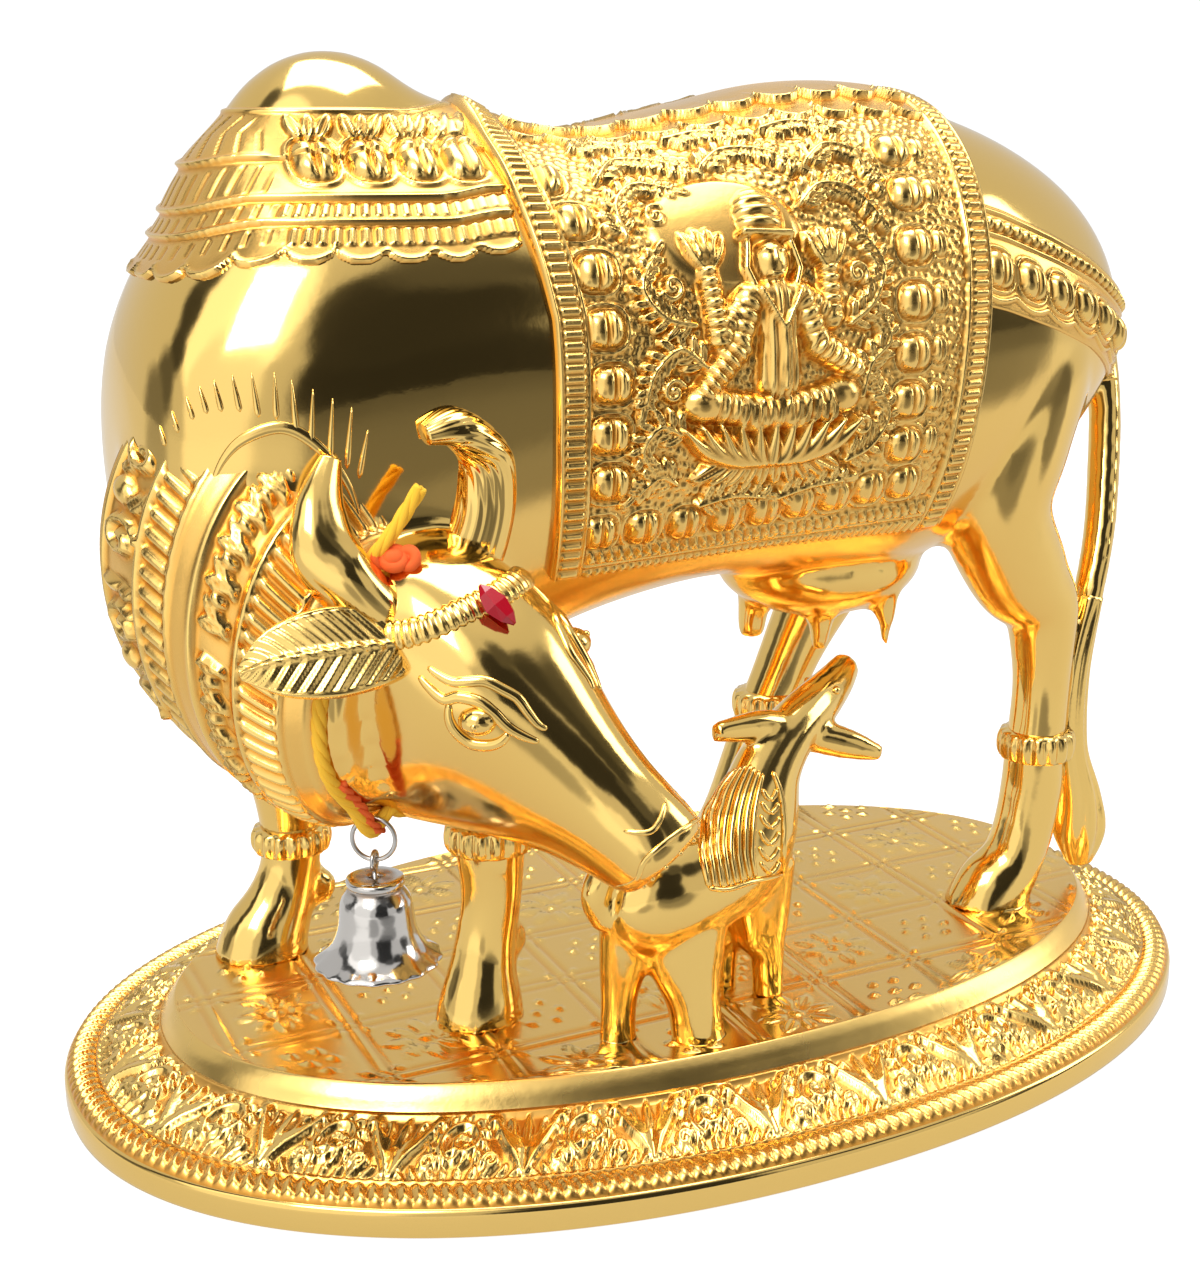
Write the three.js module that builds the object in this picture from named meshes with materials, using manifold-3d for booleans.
// Gilt cow and calf on an oval plinth.
// Millimetres, +Z up, +X towards the cow's rump, -Y towards the side with the calf.
// The origin is the centre of the plinth's underside.

import * as THREE from "three";
import Module from "manifold-3d";
import { mergeVertices } from "three/addons/utils/BufferGeometryUtils.js";

const wasm = await Module();
wasm.setup();

// Driving dimensions of the plinth
const plinthLength = 140;
const plinthWidth = 92.4;
const plinthHeight = 9.7;
const plateLength = 116.2;
const plateWidth = 66.3;
const plateShift = 0.4;
const ovalPower = 2.13;
const plinthSegments = 42;

// How finely the castings are faceted
const trunkSegments = 16;
const neckSegments = 12;
const headSegments = 10;
const legSegments = 7;
const calfSegments = 8;
const smallSegments = 6;
const thinSegments = 5;

// The blanket: how far its layers stand off the body, and where it ends
const groundHeight = 0.7;
const borderHeight = 1.6;
const borderWidth = 3.6;
const blanketFrontX = -24.2;
const blanketRearX = 31;
const blanketHemZ = 59.4;
const bossRadius = 1.9;

// The cow's head has a frame of its own: along the nose, across to the far side, out of the forehead
const pollPoint = new THREE.Vector3(-36.7, -24.4, 60.8);
const noseWard = new THREE.Vector3(0.5, -0.51, -0.7).normalize();
const acrossWard = new THREE.Vector3(0.867, 0.351, 0.358).normalize();
const browWard = new THREE.Vector3().crossVectors(noseWard, acrossWard).normalize();

const upright = new THREE.Vector3(0, 0, 1);

// Loose pieces keep this gap to what carries them
const gap = 0.3;

// The stone in the forehead: length, width and thickness, and its place on the head
const gemSize = [5, 2.9, 2];
const gemAlong = 6.4;
const gemOut = 8.2;

// The bell under the throat
const bellAxis = [-41.9, -22];
const bellRimZ = 22.6;
const bellHeight = 9;
const bellMouth = 12.8;
const bellWall = 0.6;
const bellSegments = 12;
const threadRadius = 0.75;
const hangPoint = [...bellAxis, 36.45];
const ringRadius = 2.2;
const ringZ = 35.6;
const eyeRadius = 0.9;
const eyeZ = ringZ - ringRadius - 0.1;
const wireRadius = 0.24;
const stapleFootZ = 27.6;
const ringFacing = new THREE.Vector3(0.55, 0.83, 0);
const eyeFacing = new THREE.Vector3(0.83, -0.55, 0);

const gilt = new THREE.MeshStandardMaterial({ color: 0xe3ae3c, roughness: 0.16, metalness: 1 });
const ruby = new THREE.MeshStandardMaterial({ color: 0xa40a26, roughness: 0.08, metalness: 0 });
const nickel = new THREE.MeshStandardMaterial({ color: 0xb9b6b0, roughness: 0.2, metalness: 1 });
const steel = new THREE.MeshStandardMaterial({ color: 0x8c8478, roughness: 0.3, metalness: 1 });
const cotton = new THREE.MeshStandardMaterial({ color: 0xe79a1e, roughness: 0.9, metalness: 0 });

// A closed geometry made into a solid that can be joined and cut, its faces turned outwards
function solidOf(geometry) {
  geometry.deleteAttribute("normal");
  geometry.deleteAttribute("uv");
  const merged = mergeVertices(geometry);
  const points = merged.attributes.position.array;
  const index = Uint32Array.from(merged.index.array);
  if (signedVolume(points, index) < 0) {
    index.reverse();
  }
  return new wasm.Manifold(new wasm.Mesh({ numProp: 3, vertProperties: points, triVerts: index }));
}

function signedVolume(points, index) {
  const corner = (n) => new THREE.Vector3().fromArray(points, index[n] * 3);
  let volume = 0;
  for (let i = 0; i < index.length; i += 3) {
    volume += corner(i).dot(corner(i + 1).cross(corner(i + 2))) / 6;
  }
  return volume;
}

// A finished solid made into a named mesh
function meshOf(name, solid, material) {
  const data = solid.getMesh();
  const geometry = new THREE.BufferGeometry();
  geometry.setAttribute("position", new THREE.BufferAttribute(data.vertProperties, 3));
  geometry.setIndex(new THREE.BufferAttribute(data.triVerts, 1));
  const mesh = new THREE.Mesh(geometry, material);
  mesh.name = name;
  return mesh;
}

function joined(solids) {
  return solids.reduce((whole, next) => whole.add(next));
}

// Catmull-Rom through a list of stations: every number in a station runs smoothly to the next
function smoothed(stations, steps) {
  const rows = [];
  const last = stations.length - 1;
  for (let i = 0; i < last; i += 1) {
    const before = stations[Math.max(i - 1, 0)];
    const start = stations[i];
    const end = stations[i + 1];
    const after = stations[Math.min(i + 2, last)];
    for (let s = 0; s < steps; s += 1) {
      const t = s / steps;
      rows.push(start.map((value, k) => {
        const slope = end[k] - before[k];
        const bend = 2 * before[k] - 5 * value + 4 * end[k] - after[k];
        const twist = 3 * value - before[k] - 3 * end[k] + after[k];
        return 0.5 * (2 * value + slope * t + bend * t * t + twist * t * t * t);
      }));
    }
  }
  rows.push(stations[last]);
  return rows;
}

// The station at a share of the way along a list of smoothed rows
function rowAt(rows, share) {
  const place = share * (rows.length - 1);
  const low = Math.min(Math.floor(place), rows.length - 2);
  return rows[low].map((value, k) => value + (rows[low + 1][k] - value) * (place - low));
}

// The rounded outline's cosine and sine: a power of 2 is an ellipse, more is squarer
function roundPair(angle, power) {
  const shape = (value) => Math.sign(value) * Math.abs(value) ** (2 / power);
  return [shape(Math.cos(angle)), shape(Math.sin(angle))];
}

// One ring of points about a centre, with its own reach to the side, up and down
function ring(centre, side, up, down, segments, power = 2) {
  return Array.from({ length: segments }, (_, k) => {
    const [c, s] = roundPair((2 * Math.PI * k) / segments, power);
    return centre.clone().addScaledVector(side, c).addScaledVector(s >= 0 ? up : down, s);
  });
}

// A skin over rings: closed by a middle point at each end, or joined end to end as a hoop
function skin(rings, hoop = false) {
  const around = rings[0].length;
  const count = rings.length;
  const points = rings.flat();
  const index = [];
  for (let k = 0; k < around; k += 1) {
    const next = (k + 1) % around;
    for (let r = 0; r < (hoop ? count : count - 1); r += 1) {
      const low = r * around;
      const high = ((r + 1) % count) * around;
      index.push(low + k, low + next, high + next, low + k, high + next, high + k);
    }
    if (!hoop) {
      const top = (count - 1) * around;
      index.push(count * around, next, k, count * around + 1, top + k, top + next);
    }
  }
  if (!hoop) {
    const middle = (list) => list.reduce((sum, p) => sum.add(p), new THREE.Vector3()).divideScalar(around);
    points.push(middle(rings[0]), middle(rings.at(-1)));
  }
  const geometry = new THREE.BufferGeometry().setFromPoints(points);
  geometry.setIndex(index);
  return solidOf(geometry);
}

// Rings square to a line: rows are x, y, z, radius in the fore direction, radius across
function ringsAlong(rows, segments, fore, hoop = false) {
  const centres = rows.map((row) => new THREE.Vector3(row[0], row[1], row[2]));
  const count = centres.length;
  return rows.map((row, i) => {
    const ahead = centres[hoop ? (i + 1) % count : Math.min(i + 1, count - 1)];
    const behind = centres[hoop ? (i + count - 1) % count : Math.max(i - 1, 0)];
    const along = ahead.clone().sub(behind).normalize();
    const across = new THREE.Vector3().crossVectors(along, fore).normalize();
    const front = new THREE.Vector3().crossVectors(across, along).normalize().multiplyScalar(row[3]);
    return ring(centres[i], across.multiplyScalar(row[4]), front, front, segments);
  });
}

function limb(stations, { segments = smallSegments, steps = 1, fore = new THREE.Vector3(1, 0, 0) } = {}) {
  return skin(ringsAlong(smoothed(stations, steps), segments, fore));
}

function ball(centre, radii, across = 8, down = 6) {
  const geometry = new THREE.SphereGeometry(1, across, down);
  geometry.scale(...radii);
  geometry.translate(...centre);
  return solidOf(geometry);
}

// Plinth: share of the way from the outer edge to the plate, and height
const plinthProfile = [
  [0, 0], [0, 2.4], [0.04, 3.2], [0.17, 4.2], [0.31, 4], [0.5, 5.4], [0.72, 6.4], [0.84, 7],
  [0.93, 8.8], [1, plinthHeight],
];

function plinth() {
  const rings = plinthProfile.map(([share, z]) => {
    const halfLength = THREE.MathUtils.lerp(plinthLength, plateLength, share) / 2;
    const halfWidth = THREE.MathUtils.lerp(plinthWidth, plateWidth, share) / 2;
    const side = new THREE.Vector3(halfLength, 0, 0);
    const up = new THREE.Vector3(0, halfWidth, 0);
    return ring(new THREE.Vector3(plateShift * share, 0, z), side, up, up, plinthSegments, ovalPower);
  });
  return skin(rings);
}

// The trunk: x, top of the back, underside, half width, height of the widest line, squareness
const trunkStations = [
  [-60.6, 76, 68, 4, 72, 2],
  [-59.8, 83, 61, 10, 72, 2],
  [-57.2, 90, 53, 15.5, 72, 2.1],
  [-52.6, 96, 46.5, 19, 73, 2.15],
  [-45.6, 101, 43.6, 21.4, 75, 2.2],
  [-36, 103.6, 43.6, 22.6, 77, 2.2],
  [-24, 104, 47, 23.4, 79, 2.2],
  [-11, 102.6, 51.4, 24.2, 79, 2.2],
  [2, 105.3, 53.6, 24.5, 79, 2.2],
  [14, 107.8, 53, 24.2, 79, 2.15],
  [26, 107.8, 52, 23.4, 79, 2.1],
  [37, 105.2, 54.6, 21.6, 80, 2.1],
  [46, 101.6, 59.6, 18.8, 80, 2.1],
  [53, 97.2, 66, 15, 80, 2.1],
  [58.4, 92, 71, 10, 80, 2],
  [61.2, 86, 76, 4.6, 80.5, 2],
];

// The trunk, or the same form grown outwards by a layer
function trunk(grow = 0) {
  const rows = smoothed(trunkStations, 1);
  const rings = rows.map(([x, top, bottom, half, wide, power], i) => {
    const ends = i === 0 ? -grow : 0;
    const reach = i === rows.length - 1 ? grow : ends;
    const side = new THREE.Vector3(0, half + grow, 0);
    const up = new THREE.Vector3(0, 0, top - wide + grow);
    const down = new THREE.Vector3(0, 0, wide - bottom + grow);
    return ring(new THREE.Vector3(x + reach, 0, wide), side, up, down, trunkSegments, power);
  });
  return skin(rings);
}

// The point of the flank at a given length and height; side is -1 near the calf, 1 on the far side
function flank(x, z, side, grow = groundHeight) {
  const next = Math.max(1, trunkStations.findIndex((row) => row[0] > x));
  const share = (x - trunkStations[next - 1][0]) / (trunkStations[next][0] - trunkStations[next - 1][0]);
  const [, top, bottom, half, wide, power] = rowAt(trunkStations.slice(next - 1, next + 1), share);
  const reach = z > wide ? top - wide : wide - bottom;
  const level = Math.min(1, Math.abs(z - wide) / (reach + grow));
  return [x, side * (half + grow) * (1 - level ** power) ** (1 / power), z];
}

function hump() {
  return [
    ball([-37, 0, 97], [13, 10.8, 15.2], 12, 8),
    ball([-42.6, 0, 91.6], [12, 13, 14.4], 10, 5),
    ball([-28.5, 0, 97], [12.5, 11, 10.6], 10, 5),
  ];
}

// Legs: x, y, z, radius fore and aft, radius across. Each has an anklet, and its last ring lies below
// the plate's top
const nearFrontLeg = [
  [-31, -9, 58, 10, 9], [-29, -12, 46, 7.4, 6.6], [-27, -13, 37, 5.2, 4.8], [-26.2, -13, 31.6, 4.2, 4],
  [-26.1, -13, 30.4, 4.7, 4.5], [-26.1, -13, 29, 3.9, 3.8], [-26.1, -13, 22.8, 3.4, 3.3],
  [-26.9, -13, 18, 3.4, 3.3], [-27.4, -13.2, 14.6, 3.9, 3.8], [-27.8, -13.6, 11.6, 4.7, 4.3],
  [-28.2, -13.9, 8, 5.2, 4.6],
];
const farFrontLeg = [
  [-39, 10, 58, 10, 9], [-39.6, 12.6, 46, 7.8, 7.2], [-40.4, 13.6, 36, 5.8, 5.6], [-40.6, 14, 28.7, 4.4, 4.3],
  [-40.7, 14, 24.2, 3.6, 3.5], [-40.7, 14, 23, 4.2, 4.1], [-40.7, 14, 21.6, 3.5, 3.4],
  [-41.6, 14, 17.8, 3.6, 3.4], [-43, 13.8, 14.2, 4.4, 4], [-44.4, 13.5, 11.6, 5.2, 4.7],
  [-45.4, 13.2, 8, 5.8, 5],
];
const nearHindLeg = [
  [44, -8, 88, 9, 8], [41.5, -11, 78, 10.4, 8.8], [39.3, -12.6, 68, 8.6, 8.2], [38.9, -13, 60, 6.8, 7],
  [43, -13, 52, 6.3, 5.6], [46.3, -13, 48, 5, 4.6], [47, -13, 45, 4.4, 4.2], [47.3, -13, 38, 3.6, 3.6],
  [47, -13, 31.4, 3.6, 3.6], [46.8, -13, 29.6, 4.4, 4.3], [46.7, -13, 27.8, 3.7, 3.7],
  [46.7, -13, 24.5, 3.9, 3.8], [45.7, -13, 18.6, 3.9, 3.7], [44, -12.9, 14.2, 4, 3.9],
  [42, -12.6, 11.4, 5.2, 4.5], [40.9, -12.4, 8, 6.1, 5],
];
const farHindLeg = [
  [42, 9, 78, 11, 8], [40, 13, 64, 9.6, 8], [36.6, 15.4, 53, 7.4, 6.6], [32.8, 16.6, 43.9, 5.2, 5],
  [29.4, 17, 37, 4.2, 4.2], [26.8, 17, 31.4, 3.9, 3.9], [26, 17, 29.6, 4.7, 4.6], [25, 17, 27.6, 3.8, 3.8],
  [22.2, 17, 20.4, 3.7, 3.7], [20.6, 17, 15.6, 3.9, 3.9], [19.4, 16.9, 11.8, 4.7, 4.5],
  [18.6, 16.8, 8, 5.6, 5],
];

// A cast foot stands level on the plate: what reaches below the plate's top is cut away
function standing(solid) {
  return solid.trimByPlane([0, 0, 1], plinthHeight);
}

function legs() {
  return [nearFrontLeg, farFrontLeg, nearHindLeg, farHindLeg].map((stations) => {
    return standing(limb(stations, { segments: legSegments }));
  });
}

// A dewclaw stands behind each forefoot
function dewclaws() {
  return [
    ball([-37.4, 13.4, 16.4], [1.8, 1.6, 2.4], 6, 4),
    ball([-23.4, -12.4, 17.4], [1.7, 1.6, 2.3], 6, 4),
  ];
}

// The neck turns from the chest towards the calf. Each ring has its centre, the bearing and pitch in
// degrees of the way it faces, its half height and its half width
const neckStations = [
  [-48, -3, 63, -84, -2, 19.2, 15.4], [-47.6, -10, 60.5, -76, -4, 18.9, 13.8],
  [-45.2, -16, 56.4, -70, -6, 17.8, 12.4], [-41.8, -20.2, 52, -65, -8, 15, 10.8],
  [-38.6, -23.6, 50.6, -62, -8, 11, 9.2],
];
const neckRows = smoothed(neckStations, 6);
const neckRings = 7;

function neckRing(share, grow) {
  const [x, y, z, bearing, pitch, tall, wide] = rowAt(neckRows, share);
  const turn = THREE.MathUtils.degToRad(bearing);
  const dip = THREE.MathUtils.degToRad(pitch);
  const facing = new THREE.Vector3(Math.cos(turn), Math.sin(turn), Math.tan(dip)).normalize();
  const side = new THREE.Vector3().crossVectors(facing, upright).normalize();
  const up = new THREE.Vector3().crossVectors(side, facing).multiplyScalar(tall + grow);
  return ring(new THREE.Vector3(x, y, z), side.multiplyScalar(wide + grow), up, up, neckSegments);
}

function neck() {
  return skin(Array.from({ length: neckRings }, (_, i) => neckRing(i / (neckRings - 1), 0)));
}

// A collar band is a raised hoop of the neck between two shares of its length
function collar(from, to, grow) {
  return skin([neckRing(from, 0.6 * grow), neckRing((from + to) / 2, grow), neckRing(to, 0.6 * grow)]);
}

// Carved bands round the neck, from the chest to the throat
function collars() {
  const bands = [[0.1, 0.22, 1.3], [0.25, 0.35, 1.2], [0.46, 0.6, 1.4], [0.66, 0.76, 1]];
  return bands.map(([from, to, grow]) => collar(from, to, grow));
}

// A point in the head's own frame
function headPoint(along, across, out) {
  return pollPoint.clone().addScaledVector(noseWard, along).addScaledVector(acrossWard, across)
    .addScaledVector(browWard, out);
}

// The head: distance from the poll, half width, forehead, jaw and widest line's heights, squareness
const headStations = [
  [-6, 5, 0, -13, -6, 2], [-3, 8.6, 4, -19, -9.6, 2.3], [2, 10, 6.2, -22.6, -13, 2.7],
  [8, 10.4, 7.2, -24.4, -14, 2.8], [13, 9.9, 7, -23, -12.4, 2.7], [21, 7.2, 5.8, -16, -6.4, 2.3],
  [26.6, 5.6, 5.2, -11.6, -2.4, 2.2], [31, 5, 5.2, -8, -1, 2.4], [34, 4.8, 4.8, -5.8, 0, 2.4],
  [35, 4, 3.8, -4.6, 0, 2.2],
];

function head() {
  const rings = headStations.map(([along, half, brow, jaw, wide, power]) => {
    const side = acrossWard.clone().multiplyScalar(half);
    const up = browWard.clone().multiplyScalar(brow - wide);
    const down = browWard.clone().multiplyScalar(jaw - wide);
    return ring(headPoint(along, 0, wide), side, up, down.negate(), headSegments, power);
  });
  return skin(rings);
}

// Horns: crescents that rise from the poll
const nearHorn = [
  [-39.2, -24, 57.8, 4.2, 3.8], [-43.2, -25.8, 61, 3.8, 3.4], [-46.4, -26, 65.4, 3.1, 2.9],
  [-46.8, -24.8, 69.8, 2.2, 2], [-45.2, -22.8, 74, 0.8, 0.8],
];
const farHorn = [
  [-32.2, -20.8, 61, 3.6, 3.2], [-30.2, -21.8, 65.4, 3, 2.7], [-29.4, -22.2, 69.8, 2.9, 2.5],
  [-30, -22.8, 73.8, 2.8, 2.3], [-32.8, -23.6, 76.4, 2.3, 2], [-36, -24, 76, 1.3, 1.2],
];

// Leaf-shaped ears: x, y, z, half thickness, half breadth
const nearEar = [
  [-38.4, -28, 56.8, 1.6, 2], [-42.6, -29.6, 57.4, 1.5, 3.6], [-47.8, -30, 57.6, 1.3, 4.3],
  [-52.6, -29, 57, 1.1, 3.2], [-55.6, -27.8, 56, 0.6, 0.7],
];
const farEar = [[-30, -19.4, 60.4, 1.2, 1.8], [-28, -15.6, 59.4, 1.3, 3], [-26.6, -11.6, 58.4, 1, 2.6]];
const earFace = new THREE.Vector3(-0.3, -0.86, 0.42).normalize();

// The raised outline round the near eye, the eyeball, and the band across the forehead
function faceTrims() {
  const eyeAlong = 13.2;
  const eyeOut = 2.6;
  const lidPoints = 8;
  const lid = Array.from({ length: lidPoints }, (_, k) => {
    const angle = (2 * Math.PI * k) / lidPoints;
    const along = eyeAlong + 4 * Math.cos(angle);
    const out = eyeOut + 2.2 * Math.sin(angle);
    return [...headPoint(along, -headHalf(along, out), out), 0.5, 0.5];
  });
  const eyeCentre = headPoint(eyeAlong, -headHalf(eyeAlong, eyeOut) + 0.4, eyeOut);
  const band = Array.from({ length: 9 }, (_, k) => {
    const across = -8.4 + 2.1 * k;
    const along = 3.4 + 3 * (1 - (across / 8.4) ** 2);
    return [...headPoint(along, across, headBrow(along, across) + 0.2), 1, 1.5];
  });
  return [
    skin(ringsAlong(lid, 4, acrossWard, true), true),
    ball(eyeCentre.toArray(), [1.5, 1.5, 1.5], 6, 4),
    limb(band, { segments: 4, fore: browWard }),
  ];
}

// The head's own width at a height, and its forehead's height at a distance from the middle line
function headSection(along) {
  const next = Math.max(1, headStations.findIndex((row) => row[0] > along));
  const pair = headStations.slice(next - 1, next + 1);
  return rowAt(pair, (along - pair[0][0]) / (pair[1][0] - pair[0][0]));
}

function headHalf(along, out) {
  const [, half, brow, jaw, wide, power] = headSection(along);
  const level = Math.abs(out - wide) / (out > wide ? brow - wide : wide - jaw);
  return half * (1 - level ** power) ** (1 / power);
}

function headBrow(along, across) {
  const [, half, brow, , wide, power] = headSection(along);
  const level = Math.min(1, Math.abs(across) / half);
  return wide + (brow - wide) * (1 - level ** power) ** (1 / power);
}

function headParts() {
  return [
    head(),
    limb(nearHorn, { fore: noseWard }),
    limb(farHorn, { fore: noseWard }),
    limb(nearEar, { fore: earFace }),
    limb(farEar, { fore: earFace }),
    ...faceTrims(),
  ];
}

// The tail leaves the rump's middle, comes forward to the near hind leg and ends in a tuft
const tailStations = [
  [56.6, 0, 90.4, 3, 3.4], [60.2, -0.8, 85.2, 2.6, 2.8], [61.4, -2.6, 79, 2.2, 2.3],
  [61.6, -4.6, 71, 2.1, 2.2], [60.3, -6.8, 62.6, 2.1, 2.2], [58, -9.4, 54.6, 2, 2.2],
  [55.2, -11.4, 47.4, 1.9, 2.1], [53, -12, 38, 1.9, 1.9], [53, -12, 28, 2.1, 1.9],
  [54.6, -12, 21, 2.8, 2.4], [55.6, -12, 16, 3.1, 2.6], [55.8, -12, 11.8, 1.8, 1.4],
];

// The udder hangs between the hind legs: each teat's top, tip, upper and lower radius
const teats = [
  [[27.2, -8, 50], [27.4, -8, 43.6], 1.7, 0.5],
  [[19.6, -5.6, 50.6], [19.6, -5.6, 43.4], 2, 1],
  [[15.6, 3, 50.4], [15.2, 3.4, 43.6], 2.3, 1.6],
  [[24.8, 4.6, 50], [24.8, 5, 43.6], 1.9, 1],
];

function udder() {
  const cones = teats.map(([top, tip, wide, narrow]) => {
    return limb([[...top, wide, wide], [...tip, narrow, narrow]], { segments: thinSegments });
  });
  return [ball([22, -1, 53.4], [13, 11, 6.6], 10, 6), ...cones];
}

// An outline in the side view, drawn out across one half of the body or all of it
function sideBlock(corners) {
  const outline = new THREE.Shape(corners.map(([x, z]) => new THREE.Vector2(x, z)));
  const geometry = new THREE.ExtrudeGeometry(outline, { depth: plinthWidth, bevelEnabled: false });
  geometry.rotateX(Math.PI / 2);
  geometry.translate(0, plinthWidth / 2, 0);
  return solidOf(geometry);
}

// The blanket's outline in the side view: its borders lean in towards the belly
function blanketOutline(inset) {
  const front = blanketFrontX + inset;
  const rear = blanketRearX - inset;
  const hem = blanketHemZ + inset;
  return [[front - 0.4, 120], [front, 100], [front + 2, 86], [front + 2, 74], [front + 2.6, hem],
    [rear - 4.4, hem], [rear - 3, 72], [rear - 1.6, 86], [rear - 0.4, 98], [rear + 0.6, 120]];
}

function blanket() {
  const whole = sideBlock(blanketOutline(0));
  const frame = whole.subtract(sideBlock(blanketOutline(borderWidth)));
  return [trunk(groundHeight).intersect(whole), trunk(borderHeight).intersect(frame)];
}

// Bosses stand in a column inside each border and in a row above the hem of the near flank
function bosses() {
  const columnCount = 7;
  const rowCount = 8;
  const lowest = blanketHemZ + borderWidth + bossRadius + 0.6;
  const places = [];
  for (let k = 0; k < columnCount; k += 1) {
    const rise = 3.4 + k * 4.3;
    places.push([blanketFrontX + 7.4 - 0.05 * rise, lowest + rise]);
    places.push([blanketRearX - 6.4 + 0.04 * rise, lowest + rise]);
  }
  for (let k = 0; k < rowCount; k += 1) {
    places.push([blanketFrontX + 8.4 + k * 4.9, lowest - 0.6]);
  }
  return places.map(([x, z]) => ball(flank(x, z, -1), [bossRadius, bossRadius * 0.8, bossRadius], 5, 2));
}

// Carved bands: one lies level round the shoulders, and one runs down each side of the rump
function bodyBands() {
  const height = 0.6;
  const shoulder = sideBlock([[-70, 92.6], [blanketFrontX, 93.6], [blanketFrontX, 98.4], [-70, 97.4]]);
  const rump = sideBlock([[blanketRearX, 85.4], [61.6, 75.8], [61.6, 85], [blanketRearX, 94.6]]);
  return [trunk(height).intersect(shoulder.add(rump))];
}

// The seated figure on the near flank: crown, head, body, crossed legs, four arms and the lotus seat
function seatedFigure() {
  const middleX = 0.8;
  const place = (x, z, out) => {
    const [, y] = flank(middleX + x, z, -1);
    return [middleX + x, y - out, z];
  };
  const arm = (points) => limb(points.map(([x, z]) => [...place(x, z, 0.9), 1.1, 1.1]), { segments: 4 });
  const arms = [-1, 1].flatMap((hand) => [
    arm([[hand * 1.8, 89.6], [hand * 5.2, 88.6], [hand * 6.4, 93]]),
    arm([[hand * 2, 88.6], [hand * 4.6, 84.8], [hand * 2.4, 82.6]]),
  ]);
  const petals = Array.from({ length: 5 }, (_, k) => {
    const x = -6.8 + 3.4 * k;
    return ball(place(x, 76.4 + 0.035 * x * x, 0.5), [2, 1.4, 2.4], 5, 2);
  });
  return [
    ball(place(0, 93, 0.8), [2.2, 1.9, 2.4], 6, 4),
    ball(place(0, 96, 0.4), [1.7, 1.7, 2.8], 5, 3),
    ball(place(0, 87, 0.4), [2.8, 2, 4], 6, 4),
    ball(place(-3.6, 81, 0.5), [4.2, 2, 1.8], 6, 3),
    ball(place(3.6, 81, 0.5), [4.2, 2, 1.8], 6, 3),
    ...arms,
    ...petals,
  ];
}

// The far flank carries a plain rosette in the figure's place
function rosette() {
  const leaves = 6;
  const reach = 5;
  return Array.from({ length: leaves }, (_, k) => {
    const angle = (2 * Math.PI * k) / leaves;
    return ball(flank(1 + reach * Math.cos(angle), 84 + reach * Math.sin(angle), 1), [2.4, 1.4, 2.4], 5, 2);
  });
}

// The stone, pointed at both ends, in the frame of the head
function gem(grow = 0) {
  const [length, width, thick] = gemSize.map((size) => size / 2 + grow);
  const shares = [-0.98, -0.6, 0, 0.6, 0.98];
  return skin(shares.map((share) => {
    const round = 1 - share * share;
    const centre = headPoint(gemAlong + share * length, 0, gemOut);
    const side = acrossWard.clone().multiplyScalar(width * round);
    const up = browWard.clone().multiplyScalar(thick * (0.3 + 0.7 * round));
    return ring(centre, side, up, up, 6);
  }));
}

// The calf: rump to muzzle, as x, y, z, half height, half width
const calfBody = [
  [-17.6, -26.4, 26, 2.2, 2], [-15.4, -26.6, 25.6, 5.4, 3.8], [-11.4, -26.6, 25.6, 6.4, 4.8],
  [-5, -25.6, 26.6, 6, 4.6], [-0.9, -24.3, 29.3, 6.7, 4.5], [1.2, -23.5, 33, 5.8, 4], [2.9, -22.7, 36.4, 4.3, 3.4],
  [5.8, -21.6, 39.2, 3.4, 3], [10.2, -19.6, 41.2, 3, 2.7], [14.8, -16.8, 42.8, 2.4, 2.1],
  [17.6, -14.8, 44, 1.8, 1.6],
];
const calfLegs = [
  [[-9.8, -27, 24, 5.4, 3.6], [-9.7, -27.6, 18, 4.3, 3.1], [-9.2, -28.3, 13.5, 3, 2.6], [-8.6, -28.8, 8, 3.1, 2.4]],
  [[-15.4, -25.6, 24, 3.4, 3], [-16, -25.2, 18, 2.7, 2.4], [-16.5, -25, 13.5, 2, 1.9], [-16.6, -25, 8, 2.1, 1.9]],
  [[1.1, -23.8, 26, 4.5, 3.2], [1.9, -23.3, 18, 3.3, 2.4], [2.9, -22.9, 14, 2, 1.9], [3.2, -22.7, 8, 1.8, 1.8]],
  [[-1.6, -21.8, 26, 3.8, 2.8], [-1.1, -20.8, 18, 2.7, 2.1], [-0.9, -19.8, 14, 1.7, 1.7], [-0.8, -19.4, 8, 1.6, 1.6]],
];
const calfTail = [
  [-15.6, -26.4, 30.4, 1.2, 1.2], [-18.4, -26, 29.4, 1.5, 1.6], [-19.4, -25.6, 26.2, 1.6, 1.7],
  [-18.6, -25.8, 23, 1, 1.2],
];
const calfEars = [
  [[7, -21.8, 39.6, 2, 1.8], [1.6, -22.8, 41.2, 1.9, 1.5], [-4.6, -24, 41.8, 1.2, 1]],
  [[8, -21.4, 39.2, 2, 1.8], [12.8, -22.8, 37.6, 1.8, 1.4], [16.6, -24, 36.2, 1, 0.9]],
];

// The calf's blanket is a raised band round its back
function calfBlanket() {
  const rows = smoothed(calfBody, 2);
  const grown = [0.24, 0.26, 0.36, 0.44, 0.46].map((share, i) => {
    const [x, y, z, tall, wide] = rowAt(rows, share);
    const grow = i === 0 || i === 4 ? 0 : 0.5;
    return [x, y, z + grow, tall + grow, wide + grow];
  });
  return limb(grown, { segments: calfSegments, fore: upright });
}

function calf() {
  return joined([
    limb(calfBody, { segments: calfSegments, fore: upright }),
    calfBlanket(),
    ...calfLegs.map((stations) => standing(limb(stations, { segments: thinSegments }))),
    limb(calfTail, { segments: thinSegments }),
    ...calfEars.map((stations) => limb(stations, { fore: upright })),
  ]);
}

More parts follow.
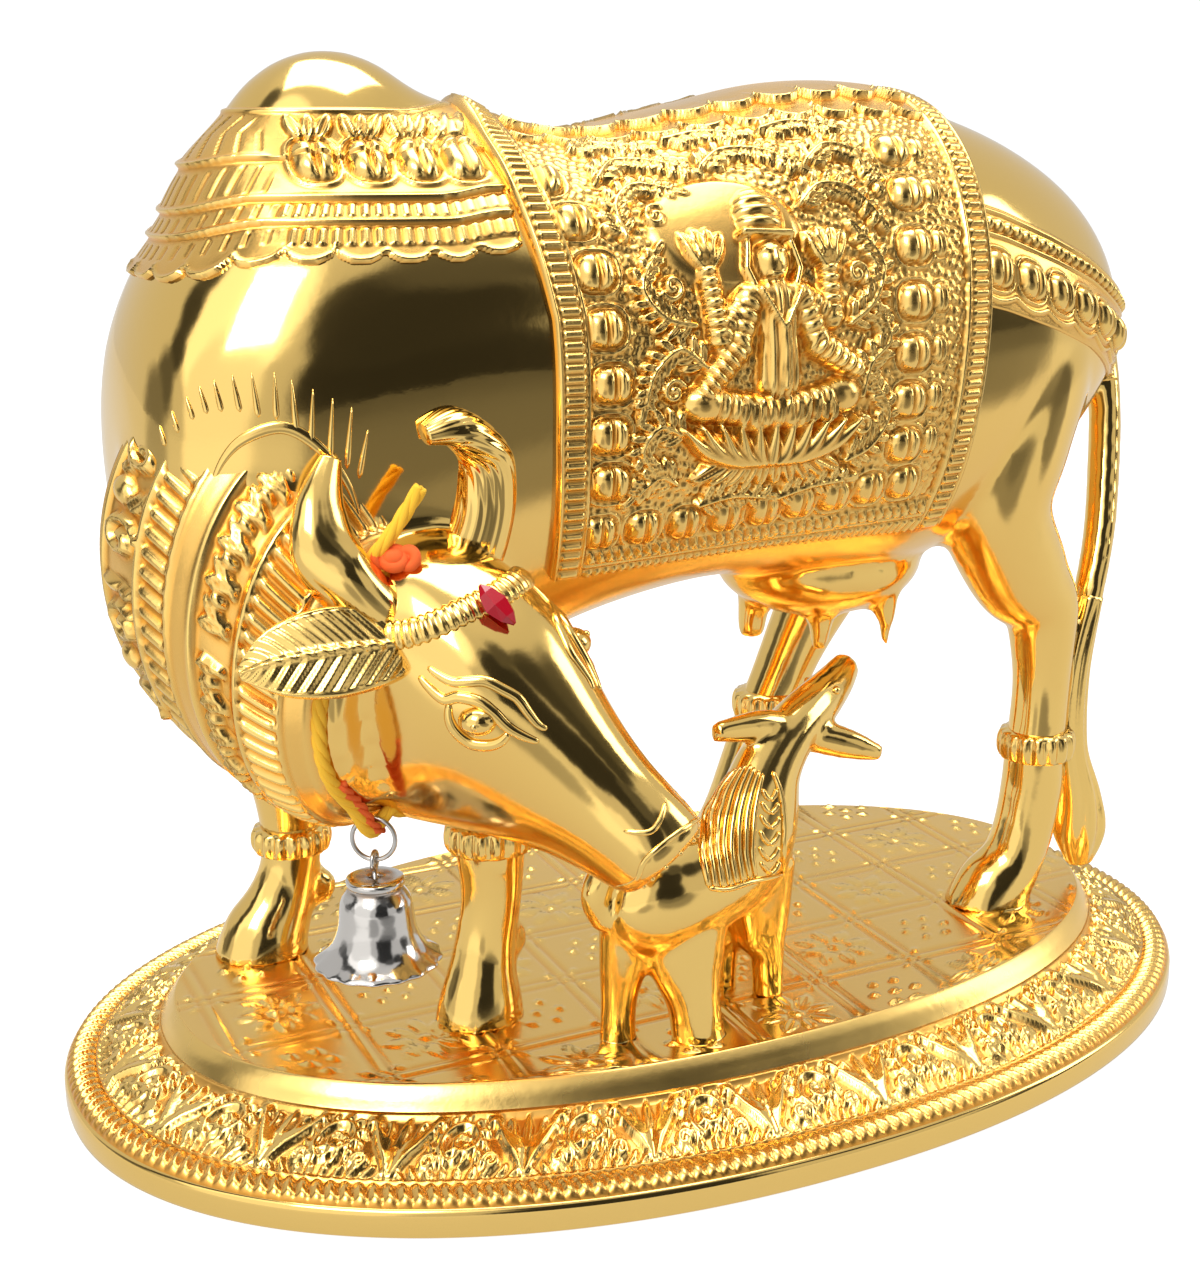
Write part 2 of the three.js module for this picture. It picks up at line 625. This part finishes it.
// The thread round the throat: a loop that clears the cow all round, then a knot and a free end
const threadCentre = new THREE.Vector3(-39, -23, 51);
const threadNormal = new THREE.Vector3(0.413, -0.899, -0.143).normalize();
const threadSide = new THREE.Vector3().crossVectors(threadNormal, upright).normalize();
const threadUp = new THREE.Vector3().crossVectors(threadSide, threadNormal).normalize();
const threadPoints = 18;
const knotPoint = [-40.3, -25, 64.1];

// The row of the loop that lies nearest a point
function nearestRow(rows, point) {
  const target = new THREE.Vector3(...point);
  const spans = rows.map(([x, y, z]) => target.distanceTo(new THREE.Vector3(x, y, z)));
  return spans.indexOf(Math.min(...spans));
}

function threadLoop(solid) {
  const caster = new THREE.Raycaster();
  const castFrom = 30;
  const target = meshOf("target", solid, new THREE.MeshBasicMaterial({ side: THREE.DoubleSide }));
  const rows = Array.from({ length: threadPoints }, (_, k) => {
    const angle = (2 * Math.PI * k) / threadPoints;
    const outward = threadUp.clone().multiplyScalar(Math.sin(angle));
    outward.addScaledVector(threadSide, Math.cos(angle));
    caster.set(threadCentre.clone().addScaledVector(outward, castFrom), outward.clone().negate());
    const hit = caster.intersectObject(target)[0];
    const reach = castFrom - hit.distance + 0.5 * threadRadius;
    return [...threadCentre.clone().addScaledVector(outward, reach), threadRadius, threadRadius];
  });
  rows[nearestRow(rows, hangPoint)].splice(0, 3, ...hangPoint);
  return rows;
}

function thread(loop, grow = 0) {
  const grown = (rows) => rows.map(([x, y, z, a, b]) => [x, y, z, a + grow, b + grow]);
  const knot = loop[nearestRow(loop, knotPoint)].slice(0, 3);
  const step = ([x, y, z]) => [knot[0] + x, knot[1] + y, knot[2] + z, threadRadius, threadRadius];
  const freeEnd = [[0, 0, 0], [0.9, 0.5, 2.4], [2.6, 1, 4.8]].map(step);
  return joined([
    skin(ringsAlong(grown(loop), thinSegments, threadNormal, true), true),
    ball(knot, [1.9 + grow, 1.5 + grow, 1.5 + grow], 6, 4),
    limb(grown(freeEnd), { segments: thinSegments }),
  ]);
}

// The bell's wall, from the crown down the outside and up the inside
function bell() {
  const mouth = bellMouth / 2;
  const hole = 0.7;
  const outside = [
    [hole, 1], [0.42 * mouth, 1], [0.46 * mouth, 0.93], [0.43 * mouth, 0.88], [0.56 * mouth, 0.72],
    [0.62 * mouth, 0.4], [0.76 * mouth, 0.17], [mouth, 0.04], [mouth, 0],
  ];
  const inside = outside.slice(1, -2).reverse().map(([radius, share]) => [radius - bellWall, share - 0.07]);
  const profile = [...outside, ...inside, [hole, 0.93]];
  const points = profile.map(([radius, share]) => new THREE.Vector2(radius, share * bellHeight));
  const geometry = new THREE.LatheGeometry([...points, points[0]], bellSegments);
  geometry.rotateX(Math.PI / 2);
  geometry.translate(bellAxis[0], bellAxis[1], bellRimZ);
  return solidOf(geometry);
}

// The ring hangs on the thread, the staple's eye hangs in the ring, and the clapper hangs in the bell
function wireRing(z, radius, facing) {
  const geometry = new THREE.TorusGeometry(radius, wireRadius, 4, 12);
  geometry.applyQuaternion(new THREE.Quaternion().setFromUnitVectors(upright, facing.clone().normalize()));
  geometry.translate(...bellAxis, z);
  return solidOf(geometry);
}

function staple() {
  const stem = [eyeZ - eyeRadius, stapleFootZ].map((z) => [...bellAxis, z, wireRadius, wireRadius]);
  return wireRing(eyeZ, eyeRadius, eyeFacing).add(limb(stem, { segments: 5 }));
}

function clapper() {
  const shape = [[stapleFootZ - gap, 0.4], [bellRimZ + 1.2, 0.7], [bellRimZ - 0.4, 1.3], [bellRimZ - 2, 0.6]];
  return limb(shape.map(([z, radius]) => [...bellAxis, z, radius, radius]));
}

const cowParts = [
  trunk(), ...hump(), ...legs(), ...dewclaws(), neck(), ...collars(), ...headParts(),
  limb(tailStations, { segments: thinSegments }), ...udder(), ...blanket(), ...bodyBands(), ...bosses(),
  ...seatedFigure(), ...rosette(),
];
const bareCow = joined(cowParts);
const loop = threadLoop(neck().add(head()));
const cow = bareCow.subtract(gem(gap)).subtract(thread(loop, gap));

const group = new THREE.Group();
group.add(meshOf("plinth", plinth(), gilt));
group.add(meshOf("cow", cow, gilt));
group.add(meshOf("calf", calf(), gilt));
group.add(meshOf("forehead_gem", gem(), ruby));
group.add(meshOf("neck_thread", thread(loop), cotton));
group.add(meshOf("jump_ring", wireRing(ringZ, ringRadius, ringFacing), steel));
group.add(meshOf("bell", bell(), nickel));
group.add(meshOf("bell_loop", staple(), steel));
group.add(meshOf("bell_clapper", clapper(), nickel));

export default group;
